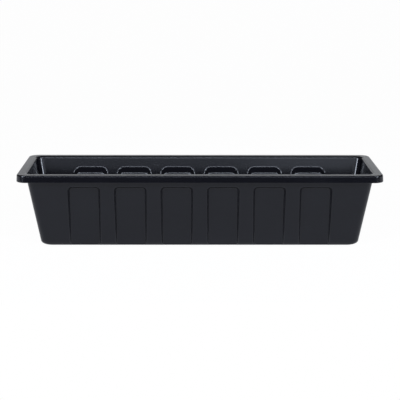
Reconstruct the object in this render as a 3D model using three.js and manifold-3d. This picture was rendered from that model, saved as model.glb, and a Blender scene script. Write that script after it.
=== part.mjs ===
// A long, low window box: one moulded resin tub with six arched panels pressed into
// each long wall, a flanged rim with a turned-down skirt, and six pull-out drain plugs.
// Millimetres, +Z up. The origin is on the standing plane, under the middle of the tub.

import * as THREE from 'three';
import Module from 'manifold-3d';
import { mergeVertices } from 'three/addons/utils/BufferGeometryUtils.js';

// ---- Rim ----------------------------------------------------------------------------
const RIM_LENGTH = 610;          // along X, over the lower edge of the skirt
const RIM_WIDTH = 190.5;         // along Y, over the lower edge of the skirt
const RIM_HEIGHT = 128;          // from the standing plane to the top of the flange
const RIM_CORNER = 17;           // plan radius of the skirt at a corner
const SKIRT_DROP = 12.2;         // height of the skirt
const SKIRT_FLARE = 0.55;        // how far the skirt leans out at its lower edge
const SKIRT_THICK = 2;
const FLANGE_THICK = 2.2;
const FLANGE_ROUND = 2.2;        // rounded edge between flange and skirt
const MOUTH_ROUND = 3;           // rounded edge between flange and inner wall

// ---- Walls --------------------------------------------------------------------------
const WALL_THICK = 2.2;          // measured level, across the wall
const WALL_SETBACK = 15.6;       // skirt edge to outer wall, level with the skirt's edge
const WALL_LEAN = 0.172;         // run per rise, the same on all four walls
const WALL_CORNER_TOP = 13;      // plan radius of a wall corner under the rim
const WALL_CORNER_BASE = 12;     // plan radius of a wall corner at the base

// ---- Base ---------------------------------------------------------------------------
const BASE_ROUND_ENDS = 9;       // base edge radius under the end walls
const BASE_ROUND_SIDES = 5;      // base edge radius under the long walls
const BASE_ROUND_RISE = 7;       // height over which those edges are rounded
const FLOOR_THICK = 2.6;
const FLOOR_RAISE = 5.5;         // height of the raised field over the standing ring
const RING_WIDTH = 15;           // flat standing ring around the raised field
const FIELD_CORNER = 12;
const FIELD_LEAN = 1.6;          // run of the short step between ring and field

// ---- Arched panels in the long walls ------------------------------------------------
const PANEL_COUNT = 6;
const PANEL_PITCH = 77.6;
const PANEL_DEPTH = 6.5;         // square to the wall, at the top of a panel
const PANEL_FOOT_DEPTH = 4.7;    // the same at the base, where the base edge cuts it off
const PANEL_TAPER = 1.2;         // each side draws in by this much towards the base
const PANEL_CORNER_MIN = 2.5;    // least radius of a panel's corners, at its full depth
const POCKET_WIDTH = 57.9;       // outline on the outer face
const POCKET_DROP = 21.4;        // rim top to the top of the outline
const POCKET_CORNER = 9.1;       // radius of the outline's top corners
const POCKET_EDGE_ROUND = 2;     // where the pocket leaves the wall
const POCKET_FOOT_ROUND = 1.2;   // where its border meets the flat of the pocket
const POCKET_ANGLE = 54 * Math.PI / 180; // slope of the straight part of its border
const BOSS_WIDTH = 63.6;         // outline on the inner face
const BOSS_DROP = 18.2;          // rim top to the top of the outline
const BOSS_CORNER = 13.7;
const BOSS_FOOT_ROUND = 3.5;     // where the boss leaves the wall
const BOSS_SHOULDER_ROUND = 5.2; // where its border meets the flat of the boss
const BOSS_TOP_STRETCH = 1.24;   // border at the top of a boss, against its sides
const BOSS_ANGLE = 42 * Math.PI / 180; // slope of the straight part of its border

// ---- Drain plugs --------------------------------------------------------------------
const PLUG_STEM_RADIUS = 6;
const PLUG_CLEARANCE = 0.3;      // stem to hole, and head to floor
const PLUG_OFFSET_Y = 28;        // the holes stand in two staggered rows
const PLUG_HEAD_RADIUS = 11;
const PLUG_HEAD_THICK = 1.6;
const PLUG_HEAD_ROUND = 0.7;
const PLUG_STEM_REACH = 2.6;     // stem below the underside of the floor
const PLUG_STEM_WALL = 1.6;
const PLUG_TIP_CHAMFER = 1;
const PLUG_SLOT = 1.8;           // cross slots that split the stem
const TAB_WIDTH = 12;
const TAB_HEIGHT = 7.5;
const TAB_THICK = 2.4;

// ---- Fineness of the facets ---------------------------------------------------------
const CORNER_STEPS = 6;
const EDGE_STEPS = 3;
const ARCH_STEPS = 5;
const ROUND_STEPS = 2;           // facets of each round in a panel's border
const PLUG_SEGMENTS = 20;
const CUT_MARGIN = 4;            // how far cutting shapes reach past what they cut

const wasm = await Module();
wasm.setup();

// A three.js geometry as a solid that can be joined and cut.
function solid(geometry) {
  const bare = geometry.clone();
  bare.deleteAttribute('normal');
  bare.deleteAttribute('uv');
  const merged = mergeVertices(bare, 1e-4);
  return new wasm.Manifold(new wasm.Mesh({
    numProp: 3,
    vertProperties: new Float32Array(merged.attributes.position.array),
    triVerts: new Uint32Array(merged.index.array),
  }));
}

// The finished solid as a flat-shaded three.js geometry.
function toGeometry(body) {
  const mesh = body.getMesh();
  const geometry = new THREE.BufferGeometry();
  geometry.setAttribute('position', new THREE.BufferAttribute(new Float32Array(mesh.vertProperties), 3));
  geometry.setIndex(new THREE.BufferAttribute(new Uint32Array(mesh.triVerts), 1));
  const flat = geometry.toNonIndexed();
  flat.computeVertexNormals();
  return flat;
}

// Closed skin through rings of equal point count, each counter-clockwise seen from the
// far end of the loft, closed by a fan at each end. Rings are arrays of Vector3.
function loft(rings) {
  const count = rings[0].length;
  const positions = [];
  const indices = [];
  for (const ring of rings) {
    for (const p of ring) positions.push(p.x, p.y, p.z);
  }
  for (let level = 0; level < rings.length - 1; level++) {
    for (let i = 0; i < count; i++) {
      const a = level * count + i;
      const b = level * count + (i + 1) % count;
      indices.push(a, b, b + count, a, b + count, a + count);
    }
  }
  const last = (rings.length - 1) * count;
  for (let i = 1; i < count - 1; i++) {
    indices.push(0, i + 1, i);
    indices.push(last, last + i, last + i + 1);
  }
  const geometry = new THREE.BufferGeometry();
  geometry.setAttribute('position', new THREE.Float32BufferAttribute(positions, 3));
  geometry.setIndex(indices);
  return geometry;
}

// Rounded rectangle about the Z axis at one height, counter-clockwise from above.
function roundedRing(halfX, halfY, radius, z) {
  const ring = [];
  for (let corner = 0; corner < 4; corner++) {
    const sx = corner === 0 || corner === 3 ? 1 : -1;
    const sy = corner < 2 ? 1 : -1;
    for (let i = 0; i <= CORNER_STEPS; i++) {
      const angle = (corner + i / CORNER_STEPS) * Math.PI / 2;
      const x = sx * (halfX - radius) + radius * Math.cos(angle);
      const y = sy * (halfY - radius) + radius * Math.sin(angle);
      ring.push(new THREE.Vector3(x, y, z));
    }
  }
  return ring;
}

// ---- Plan sizes of the walls ----------------------------------------------------------
const SKIRT_EDGE_Z = RIM_HEIGHT - SKIRT_DROP;
const FLOOR_TOP = FLOOR_RAISE + FLOOR_THICK;
const LEAN_ANGLE = Math.atan(WALL_LEAN);

// Inset of the outer wall face from the skirt's lower edge, at height z.
const wallInset = (z) => WALL_SETBACK + WALL_LEAN * (SKIRT_EDGE_Z - z);
const wallHalfX = (z) => RIM_LENGTH / 2 - wallInset(z);
const wallHalfY = (z) => RIM_WIDTH / 2 - wallInset(z);
const wallCorner = (z) => {
  const share = z / SKIRT_EDGE_Z;
  return WALL_CORNER_BASE + (WALL_CORNER_TOP - WALL_CORNER_BASE) * share;
};

// Rounded base edge: how far the face is drawn in, at a height above the lowest point.
function edgeDraw(height, radius, rise) {
  const t = Math.min(height / rise, 1);
  return radius * (1 - Math.sqrt(1 - (1 - t) * (1 - t)));
}

// Stack of wall rings from z = low up to the rim, offset inwards by a wall thickness.
function wallRings(low, offset, rise, top) {
  const rings = [];
  const scale = rise / BASE_ROUND_RISE;
  for (let i = 0; i <= EDGE_STEPS; i++) {
    const height = rise * (1 - Math.cos(i / EDGE_STEPS * Math.PI / 2));
    const z = low + height;
    const drawX = edgeDraw(height, BASE_ROUND_ENDS * scale, rise);
    const drawY = edgeDraw(height, BASE_ROUND_SIDES * scale, rise);
    const radius = wallCorner(z) - offset;
    rings.push(roundedRing(wallHalfX(z) - offset - drawX, wallHalfY(z) - offset - drawY, radius, z));
  }
  rings.push(roundedRing(wallHalfX(top) - offset, wallHalfY(top) - offset, wallCorner(top) - offset, top));
  return rings;
}

// ---- Rim: flat flange, rounded edge and flared skirt, open underneath -------------------
function rim() {
  const outer = [];
  const underside = RIM_HEIGHT - FLANGE_ROUND;
  outer.push(roundedRing(RIM_LENGTH / 2, RIM_WIDTH / 2, RIM_CORNER, SKIRT_EDGE_Z));
  for (let i = 0; i <= EDGE_STEPS; i++) {
    const angle = i / EDGE_STEPS * Math.PI / 2;
    const inset = SKIRT_FLARE + FLANGE_ROUND * (1 - Math.cos(angle));
    const z = underside + FLANGE_ROUND * Math.sin(angle);
    outer.push(roundedRing(RIM_LENGTH / 2 - inset, RIM_WIDTH / 2 - inset, RIM_CORNER - inset, z));
  }
  const flareOver = SKIRT_FLARE * CUT_MARGIN / SKIRT_DROP;
  const hollow = [
    [SKIRT_THICK - flareOver, SKIRT_EDGE_Z - CUT_MARGIN],
    [SKIRT_THICK + SKIRT_FLARE, RIM_HEIGHT - FLANGE_THICK],
  ].map(([inset, z]) => roundedRing(
    RIM_LENGTH / 2 - inset, RIM_WIDTH / 2 - inset, RIM_CORNER - inset, z));
  return solid(loft(outer)).subtract(solid(loft(hollow)));
}

// Rounded edge of the mouth: rings that open outwards from the inner wall to the flange.
function mouthRings() {
  const rings = [];
  for (let i = 1; i <= EDGE_STEPS; i++) {
    const angle = i / EDGE_STEPS * Math.PI / 2;
    const z = RIM_HEIGHT - MOUTH_ROUND * (1 - Math.sin(angle));
    const spread = MOUTH_ROUND * (1 - Math.cos(angle)) - WALL_THICK;
    rings.push(roundedRing(wallHalfX(z) + spread, wallHalfY(z) + spread, wallCorner(z) + spread, z));
  }
  return rings;
}

// ---- Raised field of the floor ----------------------------------------------------------
const fieldHalfX = wallHalfX(0) - BASE_ROUND_ENDS - RING_WIDTH;
const fieldHalfY = wallHalfY(0) - BASE_ROUND_SIDES - RING_WIDTH;

// Low plateau from z = low to z = high; spread widens it all round.
function field(low, high, spread) {
  return solid(loft([
    roundedRing(fieldHalfX + spread + FIELD_LEAN, fieldHalfY + spread + FIELD_LEAN, FIELD_CORNER, low),
    roundedRing(fieldHalfX + spread, fieldHalfY + spread, FIELD_CORNER, high),
  ]));
}

// ---- Arched panels ----------------------------------------------------------------------
// Wall coordinates: u level along the wall, v up its slope from the standing plane and
// w square to it, zero on the outer face and growing towards the inside of the tub.
const slopeLength = (z) => z / Math.cos(LEAN_ANGLE);

function wallFrame(side, centreX) {
  const up = new THREE.Vector3(0, side * Math.sin(LEAN_ANGLE), Math.cos(LEAN_ANGLE));
  const inward = new THREE.Vector3(0, -side * Math.cos(LEAN_ANGLE), Math.sin(LEAN_ANGLE));
  const along = new THREE.Vector3().crossVectors(up, inward);
  const frame = new THREE.Matrix4().makeBasis(along, up, inward);
  return frame.setPosition(centreX, side * wallHalfY(0), 0);
}

// Arch outline: straight foot, sides that draw in towards it, and two round top corners.
function archRing(halfWidth, top, radius, w) {
  const footHalf = halfWidth - PANEL_TAPER;
  const foot = -CUT_MARGIN;
  const ring = [new THREE.Vector3(-footHalf, foot, w), new THREE.Vector3(footHalf, foot, w)];
  for (const side of [1, -1]) {
    for (let i = 0; i <= ARCH_STEPS; i++) {
      const turn = i / ARCH_STEPS * Math.PI / 2;
      const angle = side > 0 ? turn : Math.PI / 2 + turn;
      const u = side * (halfWidth - radius) + radius * Math.cos(angle);
      ring.push(new THREE.Vector3(u, top - radius + radius * Math.sin(angle), w));
    }
  }
  return ring;
}

// Strip that limits a panel's depth: full at the top and evenly less down to the base.
function depthStrip(start, halfWidth) {
  const high = slopeLength(RIM_HEIGHT);
  const outside = start - CUT_MARGIN;
  const shape = new THREE.Shape();
  shape.moveTo(high, outside);
  shape.lineTo(high, start + PANEL_DEPTH);
  shape.lineTo(slopeLength(RIM_HEIGHT - POCKET_DROP), start + PANEL_DEPTH);
  shape.lineTo(0, start + PANEL_FOOT_DEPTH);
  shape.lineTo(-2 * CUT_MARGIN, start + PANEL_FOOT_DEPTH);
  shape.lineTo(-2 * CUT_MARGIN, outside);
  shape.closePath();
  const strip = new THREE.ExtrudeGeometry(shape, { depth: 2 * halfWidth, bevelEnabled: false });
  strip.translate(0, 0, -halfWidth);
  // The shape was drawn with v and w as its x and y: turn it to u, v, w.
  const turn = new THREE.Matrix4().makeBasis(
    new THREE.Vector3(0, 1, 0), new THREE.Vector3(0, 0, 1), new THREE.Vector3(1, 0, 0));
  return solid(strip.applyMatrix4(turn));
}

// Profile of a panel's border: [distance inside the outline, depth] along a round, a
// straight slope and a second round, each tangent to the next.
function borderProfile(firstRound, secondRound, slopeAngle) {
  const sine = Math.sin(slopeAngle);
  const rise = 1 - Math.cos(slopeAngle);
  const straight = (PANEL_DEPTH - (firstRound + secondRound) * rise) / sine;
  const run = (firstRound + secondRound) * sine + straight * Math.cos(slopeAngle);
  const profile = [];
  for (let i = 0; i <= ROUND_STEPS; i++) {
    const angle = slopeAngle * i / ROUND_STEPS;
    profile.push([firstRound * Math.sin(angle), firstRound * (1 - Math.cos(angle))]);
  }
  for (let i = ROUND_STEPS; i >= 0; i--) {
    const angle = slopeAngle * i / ROUND_STEPS;
    const inset = run - secondRound * Math.sin(angle);
    profile.push([inset, PANEL_DEPTH - secondRound * (1 - Math.cos(angle))]);
  }
  return profile;
}

// One panel body in wall coordinates, with its profile carried round the arch. The border
// is longer at the top than at the sides by the stretch.
function panelBody({ width, drop, corner, start, profile, stretch }) {
  const half = width / 2;
  const top = slopeLength(RIM_HEIGHT - drop);
  const rings = profile.map(([distance, depth]) => {
    const radius = Math.max(corner - distance, PANEL_CORNER_MIN);
    return archRing(half - distance, top - stretch * distance, radius, start + depth);
  });
  const behind = archRing(half, top, corner, start - CUT_MARGIN / 2);
  const body = solid(loft([behind, ...rings]));
  return body.intersect(depthStrip(start, half + CUT_MARGIN));
}

// Outside: a crisp pocket, softly rounded where it leaves the wall.
function pocket() {
  return panelBody({
    width: POCKET_WIDTH, drop: POCKET_DROP, corner: POCKET_CORNER, start: 0, stretch: 1,
    profile: borderProfile(POCKET_EDGE_ROUND, POCKET_FOOT_ROUND, POCKET_ANGLE),
  });
}

// Inside: a boss with a small round at its foot and a full shoulder.
function boss() {
  return panelBody({
    width: BOSS_WIDTH, drop: BOSS_DROP, corner: BOSS_CORNER, stretch: BOSS_TOP_STRETCH,
    start: WALL_THICK * Math.cos(LEAN_ANGLE),
    profile: borderProfile(BOSS_FOOT_ROUND, BOSS_SHOULDER_ROUND, BOSS_ANGLE),
  });
}

const bayCentre = (index) => (index - (PANEL_COUNT - 1) / 2) * PANEL_PITCH;

// The same body in all bays of both long walls.
function inAllBays(body) {
  const copies = [];
  for (const side of [-1, 1]) {
    for (let index = 0; index < PANEL_COUNT; index++) {
      copies.push(body.transform(wallFrame(side, bayCentre(index)).elements));
    }
  }
  return wasm.Manifold.union(copies);
}

// ---- Drain holes and plugs --------------------------------------------------------------
const holeCentre = (index) => {
  const row = index % 2 === 0 ? -1 : 1;
  return [bayCentre(index), row * PLUG_OFFSET_Y];
};

function drainHoles() {
  const radius = PLUG_STEM_RADIUS + PLUG_CLEARANCE;
  const height = FLOOR_TOP + 2 * CUT_MARGIN;
  const holes = [];
  for (let index = 0; index < PANEL_COUNT; index++) {
    const [x, y] = holeCentre(index);
    const hole = new THREE.CylinderGeometry(radius, radius, height, PLUG_SEGMENTS);
    hole.rotateX(Math.PI / 2);
    hole.translate(x, y, FLOOR_TOP / 2);
    holes.push(solid(hole));
  }
  return wasm.Manifold.union(holes);
}

// Plug about its own axis, with z = 0 on the underside of its head.
function plugGeometry() {
  const stemLength = FLOOR_THICK + PLUG_CLEARANCE + PLUG_STEM_REACH;
  const bore = PLUG_STEM_RADIUS - PLUG_STEM_WALL;
  const profile = [
    [0, 0], [bore, 0], [bore, -stemLength],
    [PLUG_STEM_RADIUS - PLUG_TIP_CHAMFER, -stemLength],
    [PLUG_STEM_RADIUS, -stemLength + PLUG_TIP_CHAMFER],
    [PLUG_STEM_RADIUS, 0], [PLUG_HEAD_RADIUS, 0],
    [PLUG_HEAD_RADIUS, PLUG_HEAD_THICK - PLUG_HEAD_ROUND],
    [PLUG_HEAD_RADIUS - PLUG_HEAD_ROUND, PLUG_HEAD_THICK], [0, PLUG_HEAD_THICK],
  ].map(([r, z]) => new THREE.Vector2(r, z));
  const turned = new THREE.LatheGeometry(profile, PLUG_SEGMENTS);
  turned.rotateX(Math.PI / 2);
  const slotWidth = 2 * (PLUG_STEM_RADIUS + CUT_MARGIN);
  const slotDepth = PLUG_STEM_REACH + FLOOR_THICK / 2;
  let plug = solid(turned);
  for (const [sx, sy] of [[slotWidth, PLUG_SLOT], [PLUG_SLOT, slotWidth]]) {
    const slot = new THREE.BoxGeometry(sx, sy, slotDepth + CUT_MARGIN);
    slot.translate(0, 0, -stemLength + slotDepth - (slotDepth + CUT_MARGIN) / 2);
    plug = plug.subtract(solid(slot));
  }
  return toGeometry(plug.add(solid(pullTab())));
}

// Upright grip on the head: straight sides under a round top.
function pullTab() {
  const half = TAB_WIDTH / 2;
  const shape = new THREE.Shape();
  shape.moveTo(-half, 0);
  shape.lineTo(half, 0);
  shape.lineTo(half, PLUG_HEAD_THICK + TAB_HEIGHT - half);
  shape.absarc(0, PLUG_HEAD_THICK + TAB_HEIGHT - half, half, 0, Math.PI, false);
  shape.closePath();
  const tab = new THREE.ExtrudeGeometry(shape, {
    depth: TAB_THICK, bevelEnabled: false, curveSegments: CORNER_STEPS,
  });
  tab.translate(0, PLUG_HEAD_THICK / 4, -TAB_THICK / 2);
  return tab.rotateX(Math.PI / 2);
}

// ---- The tub ----------------------------------------------------------------------------
function tubGeometry() {
  const shell = solid(loft(wallRings(0, 0, BASE_ROUND_RISE, RIM_HEIGHT - FLANGE_THICK / 2)));
  const outside = shell.subtract(inAllBays(pocket())).add(rim());

  const innerRise = BASE_ROUND_RISE - FLOOR_THICK / 2;
  const inner = wallRings(FLOOR_THICK, WALL_THICK, innerRise, RIM_HEIGHT - MOUTH_ROUND);
  const mouth = mouthRings();
  const above = mouth[EDGE_STEPS - 1].map((p) => new THREE.Vector3(p.x, p.y, RIM_HEIGHT + CUT_MARGIN));
  const cavity = solid(loft([...inner, ...mouth, above]))
    .subtract(field(0, FLOOR_TOP, WALL_THICK))
    .subtract(inAllBays(boss()));

  const underside = field(-CUT_MARGIN, FLOOR_RAISE, 0);
  return toGeometry(outside.subtract(cavity).subtract(underside).subtract(drainHoles()));
}

const resin = (color, roughness) => new THREE.MeshStandardMaterial({ color, roughness, metalness: 0 });

const windowBox = new THREE.Group();

const tub = new THREE.Mesh(tubGeometry(), resin(0x1d1e22, 0.42));
tub.name = 'planter_tub';
windowBox.add(tub);

const plugShape = plugGeometry();
for (let index = 0; index < PANEL_COUNT; index++) {
  const [x, y] = holeCentre(index);
  const plug = new THREE.Mesh(plugShape, resin(0x17181b, 0.5));
  plug.name = `drain_plug_${index + 1}`;
  plug.position.set(x, y, FLOOR_TOP + PLUG_CLEARANCE);
  windowBox.add(plug);
}

export default windowBox;
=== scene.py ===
import math

import bpy
import numpy as np
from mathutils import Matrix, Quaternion, Vector


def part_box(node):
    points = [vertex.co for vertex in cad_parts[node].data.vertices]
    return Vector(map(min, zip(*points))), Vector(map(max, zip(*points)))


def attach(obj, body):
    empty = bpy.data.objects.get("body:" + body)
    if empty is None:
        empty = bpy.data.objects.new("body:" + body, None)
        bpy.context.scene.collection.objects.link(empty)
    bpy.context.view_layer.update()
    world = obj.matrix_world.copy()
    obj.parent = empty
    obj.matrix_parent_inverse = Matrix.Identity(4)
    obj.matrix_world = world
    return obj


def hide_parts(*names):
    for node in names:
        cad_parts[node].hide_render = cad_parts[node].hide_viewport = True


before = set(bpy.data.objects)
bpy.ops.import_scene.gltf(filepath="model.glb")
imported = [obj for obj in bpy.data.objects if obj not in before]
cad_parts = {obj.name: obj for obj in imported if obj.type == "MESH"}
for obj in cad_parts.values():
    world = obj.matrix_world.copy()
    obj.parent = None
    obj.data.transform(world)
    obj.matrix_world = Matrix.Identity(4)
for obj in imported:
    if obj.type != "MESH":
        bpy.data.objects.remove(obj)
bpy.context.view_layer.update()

# ---- Camera ----------------------------------------------------------------------------
# A long lens two metres in front of the box and 40 cm above its rim, a little to the left
# and rolled by an eighth of a degree. The front wall hides the floor of the box from it.
# Its focal length is in pixels of the frame, and its place in metres.
FRAME_PIXELS = 400
FOCAL_PIXELS = 1206.2
SENSOR_MM = 36
CLIP_END = 30
CAMERA_DISTANCE = 2.094
CAMERA_ELEVATION = math.radians(12.8)
CAMERA_AZIMUTH = math.radians(-0.474)
CAMERA_ROLL = math.radians(0.126)
CAMERA_AIM = Vector((0.0006, 0.0, 0.0658))

camera_data = bpy.data.cameras.new("studio_camera")
camera_data.sensor_width = SENSOR_MM
camera_data.lens = FOCAL_PIXELS / FRAME_PIXELS * SENSOR_MM
camera_data.clip_end = CLIP_END
camera = bpy.data.objects.new("studio_camera", camera_data)
away = Vector((
    math.sin(CAMERA_AZIMUTH) * math.cos(CAMERA_ELEVATION),
    -math.cos(CAMERA_AZIMUTH) * math.cos(CAMERA_ELEVATION),
    math.sin(CAMERA_ELEVATION),
))
camera.location = CAMERA_AIM + away * CAMERA_DISTANCE
level = (-away).to_track_quat("-Z", "Y")
camera.rotation_euler = (level @ Quaternion((0, 0, 1), CAMERA_ROLL)).to_euler()
bpy.context.scene.collection.objects.link(camera)
bpy.context.scene.camera = camera
bpy.context.scene.view_settings.view_transform = "Standard"

# ---- Tub -------------------------------------------------------------------------------
# One injection moulding in black polypropylene: leaning walls about 2 mm thick with six
# arched panels pressed into each long wall, a raised floor with drain holes, and a
# flanged rim whose skirt turns down over the wall. Sizes in this section are millimetres.
MM = 0.001
_, tub_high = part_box("planter_tub")
RIM_HALF_X, RIM_HALF_Y, RIM_TOP = np.array(tub_high) / MM

SKIRT_DROP = 12.2
SKIRT_FLARE = 0.55
SKIRT_THICK = 2.0
SKIRT_LIP_ROUND = 0.7
SKIRT_LIP_RISE, SKIRT_LIP_DRAW = 1.6, 0.1
SKIRT_SHARES = np.array([0.2, 0.5, 0.8, 0.96])
FLANGE_SHARES = np.array([0.12, 0.5, 0.88])
FLANGE_THICK = 2.2
FLANGE_ROUND = 2.2
MOUTH_ROUND = 3.0
RIM_CORNER = 17.0
UNDER_FLANGE_FILLET = 1.2

WALL_THICK = 2.2
WALL_SETBACK = 15.6
WALL_LEAN = 0.172
LEAN = math.atan(WALL_LEAN)
WALL_CORNER_TOP = 13.0
WALL_CORNER_BASE = 12.0
SKIRT_EDGE_Z = RIM_TOP - SKIRT_DROP

BASE_ROUND_ENDS = 9.0
BASE_ROUND_SIDES = 5.0
BASE_ROUND_RISE = 7.0
BASE_ROUND_ROWS, INNER_BASE_ROWS = 7, 6
FLOOR_THICK = 2.6
FLOOR_RAISE = 5.5
FLOOR_TOP = FLOOR_RAISE + FLOOR_THICK
RING_WIDTH = 15.0
FIELD_CORNER = 12.0
FIELD_MARGIN = 1.5
FIELD_STEP_RUN = 1.0
STEP_FILLET = 0.8
RING_ROWS = np.array([4, 1])

PANEL_COUNT = 6
PANEL_PITCH = 77.6
PANEL_DEPTH = 6.5
PANEL_FOOT_DEPTH = 4.7
PANEL_TAPER = 1.2
POCKET_WIDTH = 57.9
POCKET_DROP = 21.4
POCKET_CORNER = 9.1
POCKET_EDGE_ROUND = 2.0
POCKET_FOOT_ROUND = 1.2
POCKET_ANGLE = math.radians(54)
BOSS_WIDTH = 63.6
BOSS_DROP = 18.2
BOSS_CORNER = 13.7
BOSS_FOOT_ROUND = 3.5
BOSS_SHOULDER_ROUND = 5.2
BOSS_TOP_STRETCH = 1.24
BOSS_ANGLE = math.radians(42)
BORDER_SUBSTITUTIONS = 12

# Heights of the rows of the two walls, as runs of (first, last, count). The rows lie close
# together where the arches' borders cross them.
OUTER_WALL_RUNS = (
    (BASE_ROUND_RISE + 0.8, 90, 9),
    (95, RIM_TOP - POCKET_DROP + 0.6, 18),
    (109.5, RIM_TOP - FLANGE_THICK - 4, 4),
)
INNER_WALL_RUNS = (
    (RIM_TOP - MOUTH_ROUND - 1, RIM_TOP - BOSS_DROP + 2.5, 4),
    (RIM_TOP - BOSS_DROP + 0.8, 92, 24),
    (87, FLOOR_THICK + 6.2, 9),
)

HOLE_RADIUS = 6.3
HOLE_EDGE_ROUND = 0.5
HOLE_EDGE_TURNS = np.radians([30, 60, 90])
HOLE_OFFSET_Y = 28.0
CELL_SHARES = np.array([0, 0.3, 0.6, 0.82, 0.95, 1])
CELL_HALF_X = PANEL_PITCH / 2
CELL_HALF_Y = 36.5
BAY_CENTRES = (np.arange(PANEL_COUNT) - (PANEL_COUNT - 1) / 2) * PANEL_PITCH
BAYS_HALF = PANEL_COUNT * CELL_HALF_X
WELD_DISTANCE = 0.001


def wall_inset(z):
    """Level distance from the skirt's lower edge in to the outer wall: a straight line in z."""
    return WALL_SETBACK + WALL_LEAN * (SKIRT_EDGE_Z - z)


def wall_corner(z):
    """Plan radius of the outer wall's corner, a straight line from base to rim."""
    return WALL_CORNER_BASE + (WALL_CORNER_TOP - WALL_CORNER_BASE) * z / SKIRT_EDGE_Z


def arc(centre_inset, centre_z, radius, start, stop, count=4):
    """Part of a circle in the section plane: inset = ci - r cos a, z = cz + r sin a, for the
    angle a in even steps between two values in degrees."""
    angle = np.radians(np.linspace(start, stop, count))
    return centre_inset - radius * np.cos(angle), centre_z + radius * np.sin(angle)


def arch_distance(u, v, width, drop, corner, stretch):
    """How far a wall point lies inside an arch outline with round top corners.

    Distance to a rounded box open at its foot: the corner radius less the length of the
    positive part of (|u| - a, v - b). The top sinks by stretch - 1 times the distance,
    which makes the border there longer, and the two are settled by substitution. The
    sides draw in evenly from the corners down to the base."""
    top = (RIM_TOP - drop) / math.cos(LEAN)
    drawn = PANEL_TAPER * np.clip(1 - v / (top - corner), 0, 1)
    across = np.abs(u) + drawn - (width / 2 - corner)
    distance = 0.0
    for _ in range(BORDER_SUBSTITUTIONS if stretch > 1 else 1):
        upward = v - top + (stretch - 1) * distance + corner
        outside = np.hypot(np.maximum(across, 0), np.maximum(upward, 0))
        deepest = np.minimum(np.maximum(across, upward), 0)
        distance = np.maximum(corner - outside - deepest, 0)
    return distance


def border_depth(distance, z, first_round, second_round, slope_angle):
    """Depth across a border: d = r - sqrt(r^2 - s^2) on the first round, a straight slope at
    the slope's angle, and the mirrored arc of the second round up to the full depth, which
    lessens evenly from the panel's top to the base."""
    sine, cosine = math.sin(slope_angle), math.cos(slope_angle)
    rounds = first_round + second_round
    share = np.clip(z / (RIM_TOP - POCKET_DROP), 0, 1)
    full = PANEL_FOOT_DEPTH + (PANEL_DEPTH - PANEL_FOOT_DEPTH) * share
    straight = (full - rounds * (1 - cosine)) / sine
    left = np.clip(rounds * sine + straight * cosine - distance, 0, None)
    on_first = np.clip(distance, 0, first_round * sine)
    on_second = np.clip(left, 0, second_round * sine)
    first = first_round - np.sqrt(first_round ** 2 - on_first ** 2)
    second = second_round - np.sqrt(second_round ** 2 - on_second ** 2)
    slope = np.clip((distance - first_round * sine) * sine / cosine, 0, straight * sine)
    return np.where(left < second_round * sine, full - second, first + slope)


def pocket_depth(u, z):
    """Outer face pressed in: the border profile carried round the arch."""
    inside = arch_distance(u, z / math.cos(LEAN), POCKET_WIDTH, POCKET_DROP, POCKET_CORNER, 1)
    return border_depth(inside, z, POCKET_EDGE_ROUND, POCKET_FOOT_ROUND, POCKET_ANGLE)


def boss_height(u, z):
    """Inner face pushed in: a small foot, a full shoulder, a longer border at the top."""
    v = z / math.cos(LEAN) - WALL_THICK * math.sin(LEAN)
    inside = arch_distance(u, v, BOSS_WIDTH, BOSS_DROP, BOSS_CORNER, BOSS_TOP_STRETCH)
    return border_depth(inside, z, BOSS_FOOT_ROUND, BOSS_SHOULDER_ROUND, BOSS_ANGLE)


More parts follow.
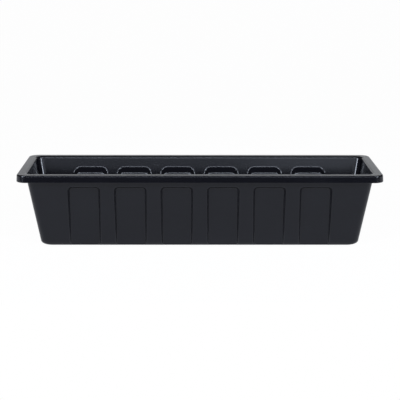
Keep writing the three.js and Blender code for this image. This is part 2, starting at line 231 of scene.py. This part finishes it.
def section_rows():
    """The wall's closed section as rows from the middle of the underside, out and up the
    outside, over the rim and down the inside to the middle of the floor.

    Each row holds inset from the skirt edge, z, extra inset at the ends, corner radius and
    face (1 pocketed outer wall, 2 bossed inner wall, 0 plain)."""
    rows = []

    def add(inset, z, radius, extra=0.0, face=0):
        given = (np.atleast_1d(value).astype(float) for value in (inset, z, extra, radius, face))
        rows.append(np.stack(np.broadcast_arrays(*given), axis=1))

    ends = BASE_ROUND_ENDS - BASE_ROUND_SIDES
    base_inset = wall_inset(0.0) + BASE_ROUND_SIDES
    field_inset = base_inset + RING_WIDTH
    # Underside field, short step down, standing ring.
    add(field_inset + FIELD_MARGIN, FLOOR_RAISE, FIELD_CORNER - FIELD_MARGIN, ends)
    inset, z = arc(field_inset + STEP_FILLET, FLOOR_RAISE - STEP_FILLET, STEP_FILLET, 90, 15)
    add(inset, z, FIELD_CORNER, ends)
    foot = field_inset - FIELD_STEP_RUN - STEP_FILLET
    inset, z = arc(foot, STEP_FILLET, STEP_FILLET, 195, 270)
    add(inset, z, FIELD_CORNER + FIELD_STEP_RUN, ends)
    add(base_inset + RING_ROWS, 0.0, WALL_CORNER_BASE, ends)
    # Rounded base edge: an ellipse, wider under the ends than under the long walls.
    height = BASE_ROUND_RISE * (1 - np.cos(np.radians(np.linspace(0, 90, BASE_ROUND_ROWS))))
    drawn = 1 - np.sqrt(1 - (1 - height / BASE_ROUND_RISE) ** 2)
    inset = wall_inset(height) + BASE_ROUND_SIDES * drawn
    add(inset, height, wall_corner(height), ends * drawn, face=1)
    # Outer wall with the pockets.
    z = np.concatenate([np.linspace(*run) for run in OUTER_WALL_RUNS])
    add(wall_inset(z), z, wall_corner(z), face=1)
    # Hollow under the rim: fillet, underside of the flange, inside of the skirt, its lip.
    flange_under = RIM_TOP - FLANGE_THICK
    fillet, fillet_z = UNDER_FLANGE_FILLET, flange_under - UNDER_FLANGE_FILLET
    root = wall_inset(flange_under)
    inset, z = arc(root - fillet, fillet_z, fillet, 180, 90, count=5)
    add(inset, z, WALL_CORNER_TOP + (root - inset))
    inset, z = arc(SKIRT_THICK + SKIRT_FLARE + fillet, fillet_z, fillet, 90, 0, count=5)
    add(inset, z, RIM_CORNER - inset)
    inset, z = SKIRT_THICK + SKIRT_LIP_DRAW, SKIRT_EDGE_Z + SKIRT_LIP_RISE
    add(inset, z, RIM_CORNER - SKIRT_THICK)
    lip, lip_z = SKIRT_LIP_ROUND, SKIRT_EDGE_Z + SKIRT_LIP_ROUND
    inset, z = arc(SKIRT_THICK - lip, lip_z, lip, 180, 270)
    add(inset, z, RIM_CORNER - inset)
    inset, z = arc(lip, lip_z, lip, -90, 0)
    add(inset, z, RIM_CORNER - inset)
    # Skirt, rounded edge, flange, rounded mouth.
    z = SKIRT_EDGE_Z + (SKIRT_DROP - FLANGE_ROUND) * SKIRT_SHARES
    add(SKIRT_FLARE * SKIRT_SHARES, z, RIM_CORNER - SKIRT_FLARE * SKIRT_SHARES)
    edge = SKIRT_FLARE + FLANGE_ROUND
    inset, z = arc(edge, RIM_TOP - FLANGE_ROUND, FLANGE_ROUND, 0, 90, count=8)
    add(inset, z, RIM_CORNER - inset)
    mouth = wall_inset(RIM_TOP) + WALL_THICK
    mouth_corner = wall_corner(RIM_TOP) - WALL_THICK
    outer_corner = RIM_CORNER - edge
    inset = edge + (mouth - MOUTH_ROUND - edge) * FLANGE_SHARES
    corner = outer_corner + (mouth_corner + MOUTH_ROUND - outer_corner) * FLANGE_SHARES
    add(inset, RIM_TOP, corner)
    inset, z = arc(mouth - MOUTH_ROUND, RIM_TOP - MOUTH_ROUND, MOUTH_ROUND, 90, 180, count=6)
    add(inset + WALL_LEAN * (RIM_TOP - z), z, mouth_corner + (mouth - inset))
    # Inner wall with the bosses.
    z = np.concatenate([np.linspace(*run) for run in INNER_WALL_RUNS])
    add(wall_inset(z) + WALL_THICK, z, wall_corner(z) - WALL_THICK, face=2)
    # Inner base edge, gutter, step up to the floor.
    rise = BASE_ROUND_RISE - FLOOR_THICK / 2
    scale = rise / BASE_ROUND_RISE
    height = rise * (1 - np.cos(np.radians(np.linspace(90, 0, INNER_BASE_ROWS))))
    drawn = 1 - np.sqrt(1 - (1 - height / rise) ** 2)
    z = FLOOR_THICK + height
    inset = wall_inset(z) + WALL_THICK + BASE_ROUND_SIDES * scale * drawn
    add(inset, z, wall_corner(z) - WALL_THICK, ends * scale * drawn, face=2)
    step = field_inset - WALL_THICK
    foot = step - FIELD_STEP_RUN - STEP_FILLET
    inset, z = arc(foot, FLOOR_THICK + STEP_FILLET, STEP_FILLET, 270, 195)
    add(inset, z, FIELD_CORNER + FIELD_STEP_RUN, ends)
    inset, z = arc(step + STEP_FILLET, FLOOR_TOP - STEP_FILLET, STEP_FILLET, 15, 90)
    add(inset, z, FIELD_CORNER, ends)
    add(step + FIELD_MARGIN, FLOOR_TOP, FIELD_CORNER - FIELD_MARGIN, ends)
    return np.concatenate(rows)


# Columns round the tub. Each bay repeats one set, in runs of (first, last, count) from its
# middle, close together where the panel's side borders lie. The stretch between the last
# bay and the corner is shared out by fractions.
HALF_BAY_RUNS = ((0, 14, 3), (14, 21.3, 4), (21.3, 32, 16), (32, CELL_HALF_X, 4))
half_bay = np.unique(np.concatenate([np.linspace(*run) for run in HALF_BAY_RUNS]))
bay = np.concatenate([-half_bay[:0:-1], half_bay])
bays = np.concatenate([bay[:-1] + centre for centre in BAY_CENTRES] + [[BAYS_HALF]])
END_SHARES = np.array([0.5, 0.85, 0.97, 1.0])
SIDE_SHARES = np.array([-1, -0.97, -0.85, -0.6, -0.3, 0, 0.3, 0.6, 0.85, 0.97, 1])
CORNER_STEPS = 8
CORNER_ANGLES = np.radians(np.linspace(0, 90, CORNER_STEPS + 1))[1:-1]


def swept_rings(half_x, half_y, radius):
    """Every row as one ring of columns, counter-clockwise from above: straight sides at
    fixed places, and quarter circles of the row's radius at the corners."""
    straight_x = half_x - radius
    straight_y = half_y - radius
    reach = BAYS_HALF + (straight_x - BAYS_HALF)[:, None] * END_SHARES
    inner = np.broadcast_to(bays, (len(half_x), bays.size))
    long_x = np.concatenate([-reach[:, ::-1], inner, reach], axis=1)
    long_y = np.broadcast_to(half_y[:, None], long_x.shape)
    short_y = straight_y[:, None] * SIDE_SHARES
    short_x = np.broadcast_to(half_x[:, None], short_y.shape)
    turn_x = radius[:, None] * np.sin(CORNER_ANGLES)
    turn_y = radius[:, None] * np.cos(CORNER_ANGLES)
    sx, sy = straight_x[:, None], straight_y[:, None]
    x = [long_x, sx + turn_x, short_x, sx + turn_x[:, ::-1],
         -long_x, -sx - turn_x, -short_x, -sx - turn_x[:, ::-1]]
    y = [-long_y, -sy - turn_y, short_y, sy + turn_y[:, ::-1],
         long_y, sy + turn_y, -short_y, -sy - turn_y[:, ::-1]]
    return np.concatenate(x, axis=1), np.concatenate(y, axis=1)


def tub_skin():
    """Sweep of the section round the rings, with pockets and bosses moved square to the
    long walls as far as they lie deeper than the rounded base edge is drawn in."""
    inset, z, extra, radius, face = section_rows().T
    x, y = swept_rings(RIM_HALF_X - inset - extra, RIM_HALF_Y - inset, radius)
    drawn = (inset - wall_inset(z))[:, None]
    height = np.broadcast_to(z[:, None], x.shape).copy()
    y = y.copy()
    columns = bays.size + 2 * END_SHARES.size
    short = SIDE_SHARES.size + 2 * CORNER_ANGLES.size
    for start, side in ((0, -1), (columns + short, 1)):
        span = slice(start, start + columns)
        u = (x[:, span] + BAYS_HALF) % PANEL_PITCH - CELL_HALF_X
        off_bays = np.abs(x[:, span]) > BAYS_HALF
        u[off_bays] = CELL_HALF_X
        pocket = pocket_depth(u, z[:, None]) - drawn
        boss = boss_height(u, z[:, None]) - drawn + WALL_THICK
        pushed = np.where(face[:, None] == 1, pocket, 0)
        pushed = np.maximum(np.where(face[:, None] == 2, boss, pushed), 0)
        y[:, span] -= side * math.cos(LEAN) * pushed
        height[:, span] += math.sin(LEAN) * pushed
    # The middle of floor and underside: a plain rectangle that the drain cells fill.
    lengths = np.array([BAYS_HALF]), np.array([CELL_HALF_Y]), np.array([0.0])
    middle_x, middle_y = swept_rings(*lengths)
    under = np.stack([middle_x, middle_y, np.full_like(middle_x, FLOOR_RAISE)], axis=2)
    over = np.stack([middle_x, middle_y, np.full_like(middle_x, FLOOR_TOP)], axis=2)
    return np.concatenate([under, np.stack([x, y, height], axis=2), over])


def drain_cell(centre_x, hole_y):
    """One bay of the floor with its drain hole: rays from the cell's rectangle to the hole's
    circle on the top, down through the rounded hole and back out on the underside."""
    edge = CELL_HALF_Y * SIDE_SHARES
    rim_x = np.concatenate([bay[:-1], np.full(edge.size - 1, CELL_HALF_X), bay[:0:-1],
                            np.full(edge.size - 1, -CELL_HALF_X)]) + centre_x
    rim_y = np.concatenate([np.full(bay.size - 1, -CELL_HALF_Y), edge[:-1],
                            np.full(bay.size - 1, CELL_HALF_Y), edge[:0:-1]])
    angle = np.arctan2(rim_y - hole_y, rim_x - centre_x)
    outer = HOLE_RADIUS + HOLE_EDGE_ROUND
    ring_x = centre_x + outer * np.cos(angle)
    ring_y = hole_y + outer * np.sin(angle)
    flat_x = rim_x + (ring_x - rim_x) * CELL_SHARES[:, None]
    flat_y = rim_y + (ring_y - rim_y) * CELL_SHARES[:, None]
    wall_r = outer - HOLE_EDGE_ROUND * np.sin(HOLE_EDGE_TURNS)
    drop = HOLE_EDGE_ROUND * (1 - np.cos(HOLE_EDGE_TURNS))
    bore_r = np.concatenate([wall_r, wall_r[::-1]])[:, None]
    bore_z = np.concatenate([FLOOR_TOP - drop, (FLOOR_RAISE + drop)[::-1]])[:, None]
    bore_x = centre_x + bore_r * np.cos(angle)
    bore_y = hole_y + bore_r * np.sin(angle)
    x = np.concatenate([flat_x, bore_x, flat_x[::-1]])
    y = np.concatenate([flat_y, bore_y, flat_y[::-1]])
    z = np.concatenate([np.full_like(flat_x, FLOOR_TOP), np.broadcast_to(bore_z, bore_x.shape),
                        np.full_like(flat_x, FLOOR_RAISE)])
    return np.stack([x, y, z], axis=2)


def grid_quads(rows, columns, first):
    """Quads of a grid that closes on itself along its columns, facing d(column) x d(row)."""
    index = first + np.arange(rows * columns).reshape(rows, columns)
    following = np.roll(index, -1, axis=1)
    return np.stack([index[:-1], following[:-1], following[1:], index[1:]], axis=2).reshape(-1, 4)


def welded_mesh(name, grids):
    """One mesh from several closed-column grids in millimetres. Points that share a place,
    to the weld distance, become one, and quads that lose a corner become triangles."""
    points, quads, count = [], [], 0
    for grid in grids:
        quads.append(grid_quads(grid.shape[0], grid.shape[1], count))
        points.append(grid.reshape(-1, 3))
        count += grid.shape[0] * grid.shape[1]
    points = np.concatenate(points)
    places = np.round(points / WELD_DISTANCE).astype(np.int64)
    _, first, inverse = np.unique(places, axis=0, return_index=True, return_inverse=True)
    corners = inverse.ravel()[np.concatenate(quads)].tolist()
    faces = [list(dict.fromkeys(quad)) for quad in corners]
    mesh = bpy.data.meshes.new(name)
    mesh.from_pydata((points[first] * MM).tolist(), [], [face for face in faces if len(face) > 2])
    mesh.shade_smooth()
    piece = bpy.data.objects.new(name, mesh)
    bpy.context.scene.collection.objects.link(piece)
    return piece


hole_rows = [HOLE_OFFSET_Y * (-1 if index % 2 == 0 else 1) for index in range(PANEL_COUNT)]
cells = [drain_cell(x, y) for x, y in zip(BAY_CENTRES, hole_rows)]
tub = welded_mesh("tub_moulding", [tub_skin(), *cells])


class Signal:
    """A shader socket that takes part in sums and products as a number does."""

    def __init__(self, finish, socket):
        self.finish = finish
        self.socket = socket

    def combine(self, operation, *values):
        """Adds the Math node that works out one operation on signals and numbers."""
        sockets = dict(enumerate(values))
        return self.finish.node("ShaderNodeMath", {"operation": operation}, sockets)

    def __add__(self, other):
        return self.combine("ADD", self, other)

    __radd__ = __add__

    def __mul__(self, other):
        return self.combine("MULTIPLY", self, other)

    __rmul__ = __mul__

    def between(self, low, high):
        """Zero below low, one above high and a smooth step from one to the other."""
        settings = {"interpolation_type": "SMOOTHSTEP"}
        return self.finish.node("ShaderNodeMapRange", settings, {0: self, 1: low, 2: high})


NOISE_ROUGHNESS = 0.55


class Finish:
    """The shader of a material or of the room, under construction."""

    def __init__(self, owner):
        owner.use_nodes = True
        self.owner = owner
        self.tree = owner.node_tree
        self.tree.nodes.clear()

    def node(self, kind, settings=None, sockets=None, output=0):
        """Adds a node, sets it up, fills or links its sockets and gives one output."""
        made = self.tree.nodes.new(kind)
        for key, value in (settings or {}).items():
            setattr(made, key, value)
        for key, value in (sockets or {}).items():
            if isinstance(value, Signal):
                self.tree.links.new(value.socket, made.inputs[key])
            else:
                made.inputs[key].default_value = value
        return None if output is None else Signal(self, made.outputs[output])

    def noise(self, place, scale, detail=2.0, stretch=(1, 1, 1)):
        """Noise about 0.5, finer with scale and drawn out where stretch is small."""
        moved = self.node("ShaderNodeMapping", sockets={"Vector": place, "Scale": stretch})
        settings = {"noise_dimensions": "3D"}
        sockets = {"Vector": moved, "Scale": scale, "Detail": detail,
                   "Roughness": NOISE_ROUGHNESS}
        return self.node("ShaderNodeTexNoise", settings, sockets)

    def blend(self, share, first, second):
        """Colour between two colours."""
        sockets = {"Factor": share, 6: first, 7: second}
        return self.node("ShaderNodeMix", {"data_type": "RGBA"}, sockets, output=2)

    def surface(self, shader):
        """Makes a shader the surface of the material, which is then finished."""
        self.node("ShaderNodeOutputMaterial", sockets={"Surface": shader}, output=None)
        return self.owner


RESIN_BLACK = (0.0024, 0.0025, 0.0042, 1)
RESIN_BLOOM = (0.0036, 0.0038, 0.0060, 1)
RESIN_SCUFF = (0.030, 0.030, 0.033, 1)
RESIN_SHEEN = (0.91, 0.93, 1.0, 1)
RESIN_ROUGHNESS = 0.14
RESIN_IOR = 1.49
RESIN_SPECULAR = 0.5
RESIN_RELIEF = 0.12 * MM
RESIN_RELIEF_STRENGTH = 0.22


def tub_resin():
    """Black polypropylene: cloudy flow marks, a fine grain from the mould, and hair-fine
    rubs that lie along the walls."""
    finish = Finish(bpy.data.materials.new("black_polypropylene"))
    place = finish.node("ShaderNodeTexCoord", output="Object")
    clouds = finish.noise(place, 9.0, 4.0, (1, 1, 1.6)).between(0.3, 0.75)
    flow = finish.noise(place, 3.0, 3.0, (1, 2, 9)).between(0.35, 0.7)
    grain = finish.noise(place, 1700.0, 2.0)
    orange_peel = finish.noise(place, 260.0, 2.0)
    rubs = finish.noise(place, 60.0, 3.0, (0.35, 6, 14)).between(0.66, 0.74)
    rubs = rubs * finish.noise(place, 22.0, 2.0).between(0.5, 0.7)
    tone = finish.blend(clouds * 0.6 + flow * 0.4, RESIN_BLACK, RESIN_BLOOM)
    tone = finish.blend(rubs * 0.5, tone, RESIN_SCUFF)
    rough = RESIN_ROUGHNESS + clouds * 0.03 + flow * 0.03 + grain * 0.03 + rubs * 0.10
    relief = grain * 0.6 + orange_peel * 0.8 + rubs * 0.3
    bump = finish.node("ShaderNodeBump", sockets={
        "Strength": RESIN_RELIEF_STRENGTH, "Distance": RESIN_RELIEF, "Height": relief})
    shader = finish.node("ShaderNodeBsdfPrincipled", sockets={
        "Base Color": tone, "Roughness": rough, "Normal": bump, "IOR": RESIN_IOR,
        "Specular IOR Level": RESIN_SPECULAR, "Specular Tint": RESIN_SHEEN})
    return finish.surface(shader)


tub.data.materials.append(tub_resin())
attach(tub, "tub")
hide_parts("planter_tub")

# ---- Drain plugs -------------------------------------------------------------------------
# Soft black polyethylene mouldings that stop the drain holes: a flat round head with an
# upright grip, and a hollow stem split in four fingers. They are pushed in by hand, and each
# slides straight up out of its hole. Sizes are millimetres from the head's underside.
PLUG_CLEARANCE = 0.3
HEAD_RADIUS = 11.0
HEAD_THICK = 1.6
HEAD_ROUND = 0.7
HEAD_SEAT_RADIUS = 9.5
GROOVE = ((9.2, 0), (8.9, 0.22), (8.5, 0.3), (8.1, 0.22), (7.8, 0), (7.4, 0))
STEM_RADIUS = 6.0
STEM_WALL = 1.6
STEM_BORE = STEM_RADIUS - STEM_WALL
STEM_REACH = 2.6
STEM_LENGTH = FLOOR_THICK + PLUG_CLEARANCE + STEM_REACH
STEM_ROOT = 0.4
STEM_TIP = 1.0
STEM_TIP_EDGE = 0.3
STEM_TIP_RISES = 0.7, 1.3
SAG_DEPTH = 0.02
SAG_RADII = 0, STEM_BORE - 0.2, STEM_RADIUS + 0.3
SLOT_WIDTH = 1.8
SLOT_DEPTH = STEM_REACH + FLOOR_THICK / 2
SLOT_END_Z = -STEM_LENGTH + SLOT_DEPTH
COLLAR_OVERLAP = 0.01
GRIP_WIDTH = 12.0
GRIP_HEIGHT = 7.5
GRIP_THICK = 2.4
GRIP_EDGE_ROUND = 0.8
GRIP_FLARE_START = 1.5
GRIP_FLARE_RATE = 0.6
ROUND_COLUMNS, FINGER_COLUMNS = 72, 19
RIM_ROWS = 9
GRIP_ROWS, GRIP_FOOT_COLUMNS, GRIP_CROWN_COLUMNS = 13, 7, 33


def turned(profile):
    """Surface of revolution about Z: each (radius, z) of the profile swept round a circle."""
    radius, z = np.array(profile, float).T
    angle = np.linspace(0, 2 * np.pi, ROUND_COLUMNS, endpoint=False)
    x = radius[:, None] * np.cos(angle)
    y = radius[:, None] * np.sin(angle)
    return np.stack([x, y, np.broadcast_to(z[:, None], x.shape)], axis=2)


def plug_head():
    """Disc with a half-elliptic rim, a shallow ring groove and an underside that sags by a
    hair about the stem, all as one turned profile from the lower pole to the upper."""
    rim = np.radians(np.linspace(-90, 90, RIM_ROWS))
    middle = HEAD_THICK / 2
    edge = [(HEAD_RADIUS - HEAD_ROUND + HEAD_ROUND * math.cos(a), middle + middle * math.sin(a))
            for a in rim]
    groove = [(radius, HEAD_THICK - depth) for radius, depth in GROOVE]
    sag = [(radius, -SAG_DEPTH) for radius in SAG_RADII]
    return turned(sag + [(HEAD_SEAT_RADIUS, 0)] + edge + groove + [(0, HEAD_THICK)])


def fan(centre, columns):
    """Row with all its columns on one point, which closes the end of a sweep."""
    return np.broadcast_to(np.asarray(centre, float), (1, columns, 3))


def stem_finger(quarter):
    """One of four fingers: a closed section (tip chamfer, outside, slot's end, bore) swept
    over the angle between two slots and closed at both ends. The slots have parallel sides,
    so what they take off at each radius is the arcsine of half their width over it."""
    low = -STEM_LENGTH
    bevel_z, full_z = (low + rise for rise in STEM_TIP_RISES)
    section = np.array([
        (STEM_BORE, low + STEM_TIP_EDGE), (STEM_BORE + STEM_TIP_EDGE, low),
        (STEM_RADIUS - STEM_TIP, low), (STEM_RADIUS - STEM_TIP_EDGE, bevel_z),
        (STEM_RADIUS, full_z), (STEM_RADIUS, SLOT_END_Z), (STEM_BORE, SLOT_END_Z)])
    radius, z = section.T
    share = np.linspace(-1, 1, FINGER_COLUMNS)[:, None]
    spread = np.pi / 4 - np.arcsin(SLOT_WIDTH / 2 / radius)
    angle = quarter * np.pi / 2 + np.pi / 4 + share * spread
    x, y = radius * np.cos(angle), radius * np.sin(angle)
    sweep = np.stack([x, y, np.broadcast_to(z, angle.shape)], axis=2)
    first, last = (fan(ring.mean(axis=0), radius.size) for ring in (sweep[0], sweep[-1]))
    return np.concatenate([first, sweep, last])[::-1]


def stem_collar():
    """Whole ring of the stem between the slots' closed ends and the head: a rectangle, turned."""
    low = SLOT_END_Z - COLLAR_OVERLAP
    return turned([(STEM_BORE, STEM_ROOT), (STEM_BORE, low), (STEM_RADIUS, low),
                   (STEM_RADIUS, STEM_ROOT), (STEM_BORE, STEM_ROOT)])


def plug_grip():
    """Upright pull tab: straight sides whose feet flare out by a square law, under a half
    circle. Across its thickness the outline shrinks by a quarter ellipse at each cheek."""
    side = np.radians(np.linspace(-90, 90, GRIP_ROWS))
    depth = GRIP_THICK / 2 * np.sin(side)
    shrink = GRIP_EDGE_ROUND * (1 - np.cos(side))
    half = GRIP_WIDTH / 2
    crown = HEAD_THICK + GRIP_HEIGHT - half
    turn = np.linspace(0, np.pi, GRIP_CROWN_COLUMNS)
    climb = np.linspace(0, 1, GRIP_FOOT_COLUMNS)[:-1]
    flare = np.linspace(GRIP_FLARE_START, 0, GRIP_FOOT_COLUMNS)[:-1]
    foot_z = HEAD_THICK / 2 + (crown - HEAD_THICK / 2) * climb
    right_x = half + flare ** 2 * GRIP_FLARE_RATE
    x = np.concatenate([right_x, half * np.cos(turn), -right_x[::-1]])
    z = np.concatenate([foot_z, crown + half * np.sin(turn), foot_z[::-1]])
    reach = 1 - shrink[:, None] / half
    grid_x = x * reach
    grid_z = HEAD_THICK / 2 + (z - HEAD_THICK / 2) * reach
    grid_y = np.broadcast_to(depth[:, None], grid_x.shape)
    sweep = np.stack([grid_x, grid_y, grid_z], axis=2)
    front, back = (fan((0, sign * GRIP_THICK / 2, crown), x.size) for sign in (-1, 1))
    return np.concatenate([front, sweep, back])[::-1]


PLUG_BLACK = (0.0075, 0.0078, 0.0088, 1)
PLUG_BLOOM = (0.013, 0.0132, 0.0145, 1)
PLUG_ROUGHNESS = 0.44
PLUG_IOR = 1.51
PLUG_RELIEF = 0.08 * MM
PLUG_RELIEF_STRENGTH = 0.25


def plug_resin():
    """Black polyethylene: duller than the tub, with the swirl of a small moulding."""
    finish = Finish(bpy.data.materials.new("black_polyethylene"))
    place = finish.node("ShaderNodeTexCoord", output="Object")
    swirl = finish.noise(place, 90.0, 3.0).between(0.3, 0.7)
    grain = finish.noise(place, 2400.0, 2.0)
    tone = finish.blend(swirl, PLUG_BLACK, PLUG_BLOOM)
    rough = PLUG_ROUGHNESS + swirl * 0.08 + grain * 0.06
    bump = finish.node("ShaderNodeBump", sockets={
        "Strength": PLUG_RELIEF_STRENGTH, "Distance": PLUG_RELIEF, "Height": grain})
    shader = finish.node("ShaderNodeBsdfPrincipled", sockets={
        "Base Color": tone, "Roughness": rough, "Normal": bump, "IOR": PLUG_IOR})
    return finish.surface(shader)


plug_finish = plug_resin()
fingers = [stem_finger(quarter) for quarter in range(4)]
plug_shape = [plug_head(), stem_collar(), *fingers, plug_grip()]
for index, (x, y) in enumerate(zip(BAY_CENTRES, hole_rows), start=1):
    place = np.array([x, y, FLOOR_TOP + PLUG_CLEARANCE])
    plug = welded_mesh(f"plug_{index}_moulding", [grid + place for grid in plug_shape])
    plug.data.materials.append(plug_finish)
    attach(plug, f"plug_{index}")
    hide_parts(f"drain_plug_{index}")

# ---- Studio ------------------------------------------------------------------------------
# White paper table that ends a little in front of the box and curves up behind it into a low
# backdrop. The box is lit by a broad, dim panel in front, brighter towards the right, by a
# row of three small panels above that, and by a tall softbox at each side. Sizes are metres.
SHEET_HALF_WIDTH = 4.0
SHEET_FRONT = -0.38
SHEET_MIDDLE_Y = 0.5
SHEET_BEND_Y = 1.75
SHEET_BEND_RADIUS = 0.5
SHEET_TOP = 0.9
BEND_COLUMNS, SHEET_ROWS = 13, 5
PAPER_TONES = (0.80, 0.80, 0.80, 1), (0.83, 0.83, 0.83, 1)
PAPER_GLOW = 0.975
PAPER_MIRRORED = 0.40
PURE_WHITE = (1, 1, 1, 1)


def paper_sheet():
    """Flat run, quarter circle and upright run, as one profile carried along X."""
    turn = np.linspace(0, np.pi / 2, BEND_COLUMNS)
    bend_y = SHEET_BEND_Y + SHEET_BEND_RADIUS * np.sin(turn)
    bend_z = SHEET_BEND_RADIUS * (1 - np.cos(turn))
    y = np.concatenate([[SHEET_FRONT, SHEET_MIDDLE_Y], bend_y, bend_y[-1:]])
    z = np.concatenate([[0, 0], bend_z, [SHEET_TOP]])
    x = np.linspace(-SHEET_HALF_WIDTH, SHEET_HALF_WIDTH, SHEET_ROWS)
    points = np.stack(np.broadcast_arrays(x[None, :], y[:, None], z[:, None]), axis=2)
    index = np.arange(points.shape[0] * x.size).reshape(-1, x.size)
    quads = np.stack([index[:-1, :-1], index[:-1, 1:], index[1:, 1:], index[1:, :-1]], axis=2)
    mesh = bpy.data.meshes.new("paper_sheet")
    mesh.from_pydata(points.reshape(-1, 3).tolist(), [], quads.reshape(-1, 4).tolist())
    mesh.shade_smooth()
    made = bpy.data.objects.new("paper_sheet", mesh)
    bpy.context.scene.collection.objects.link(made)
    return made


def seen_as_white(finish, mirrored):
    """One for what the camera sees straight or through glass, and a given share in gloss."""
    camera_ray, glass_ray, gloss_ray = (
        finish.node("ShaderNodeLightPath", output=f"Is {kind} Ray")
        for kind in ("Camera", "Transmission", "Glossy"))
    return camera_ray + glass_ray + gloss_ray * mirrored


def paper_white():
    """Matt white to the lamps. The camera sees it nearly as pure white, with its shadows
    faint, and glossy faces mirror it at a lower strength."""
    finish = Finish(bpy.data.materials.new("white_paper"))
    place = finish.node("ShaderNodeTexCoord", output="Object")
    fibre = finish.noise(place, 40.0, 3.0)
    tone = finish.blend(fibre, *PAPER_TONES)
    matt = finish.node("ShaderNodeBsdfDiffuse", sockets={"Color": tone, "Roughness": 0.6})
    white = finish.node("ShaderNodeEmission", sockets={"Color": PURE_WHITE, "Strength": 1.0})
    share = seen_as_white(finish, PAPER_MIRRORED) * PAPER_GLOW
    mixed = finish.node("ShaderNodeMixShader", sockets={0: share, 1: matt, 2: white})
    return finish.surface(mixed)


sheet = paper_sheet()
sheet.data.materials.append(paper_white())


LAMP_COLOUR = (0.86, 0.92, 1.0)


def softbox(name, place, aim, size, radiance):
    """Rectangular area light at a place, turned to face a point. Its size is width and height,
    and its power is radiance times pi times its area."""
    light = bpy.data.lights.new(name, "AREA")
    light.shape = "RECTANGLE"
    light.size, light.size_y = size
    light.energy = radiance * math.pi * size[0] * size[1]
    light.color = LAMP_COLOUR
    lamp = bpy.data.objects.new(name, light)
    lamp.location = place
    lamp.rotation_euler = (Vector(aim) - Vector(place)).to_track_quat("-Z", "Y").to_euler()
    bpy.context.scene.collection.objects.link(lamp)


softbox("low_panel", (0.0, -2.6, 0.74), (0, 0, 0.74), (2.6, 0.7), 0.62)
softbox("low_panel_right", (0.85, -2.55, 0.74), (0.85, 0, 0.74), (1.2, 0.7), 0.6)
softbox("high_panel", (0.0, -2.25, 1.12), (0, 0, 0.1), (1.3, 0.3), 12.0)
for side, name in ((-1, "left"), (1, "right")):
    softbox(f"{name}_high_panel", (side * 1.1, -1.75, 1.35), (0, 0, 0.1), (0.5, 0.3), 26.0)
    softbox(f"{name}_softbox", (side * 1.6, -1.45, 0.55), (0, 0, 0.3), (0.5, 0.8), 20.0)

# The room beyond the paper is dark to the box and white to the camera.
ROOM_DARK = (0.04, 0.04, 0.044, 1)
ROOM_MIRRORED = 0.03
world = bpy.data.worlds.new("dark_room")
room = Finish(world)
dark = room.node("ShaderNodeBackground", sockets={"Color": ROOM_DARK})
bright = room.node("ShaderNodeBackground", sockets={"Color": PURE_WHITE, "Strength": 1.0})
share = seen_as_white(room, ROOM_MIRRORED)
mixed = room.node("ShaderNodeMixShader", sockets={0: share, 1: dark, 2: bright})
room.node("ShaderNodeOutputWorld", sockets={"Surface": mixed}, output=None)
bpy.context.scene.world = world
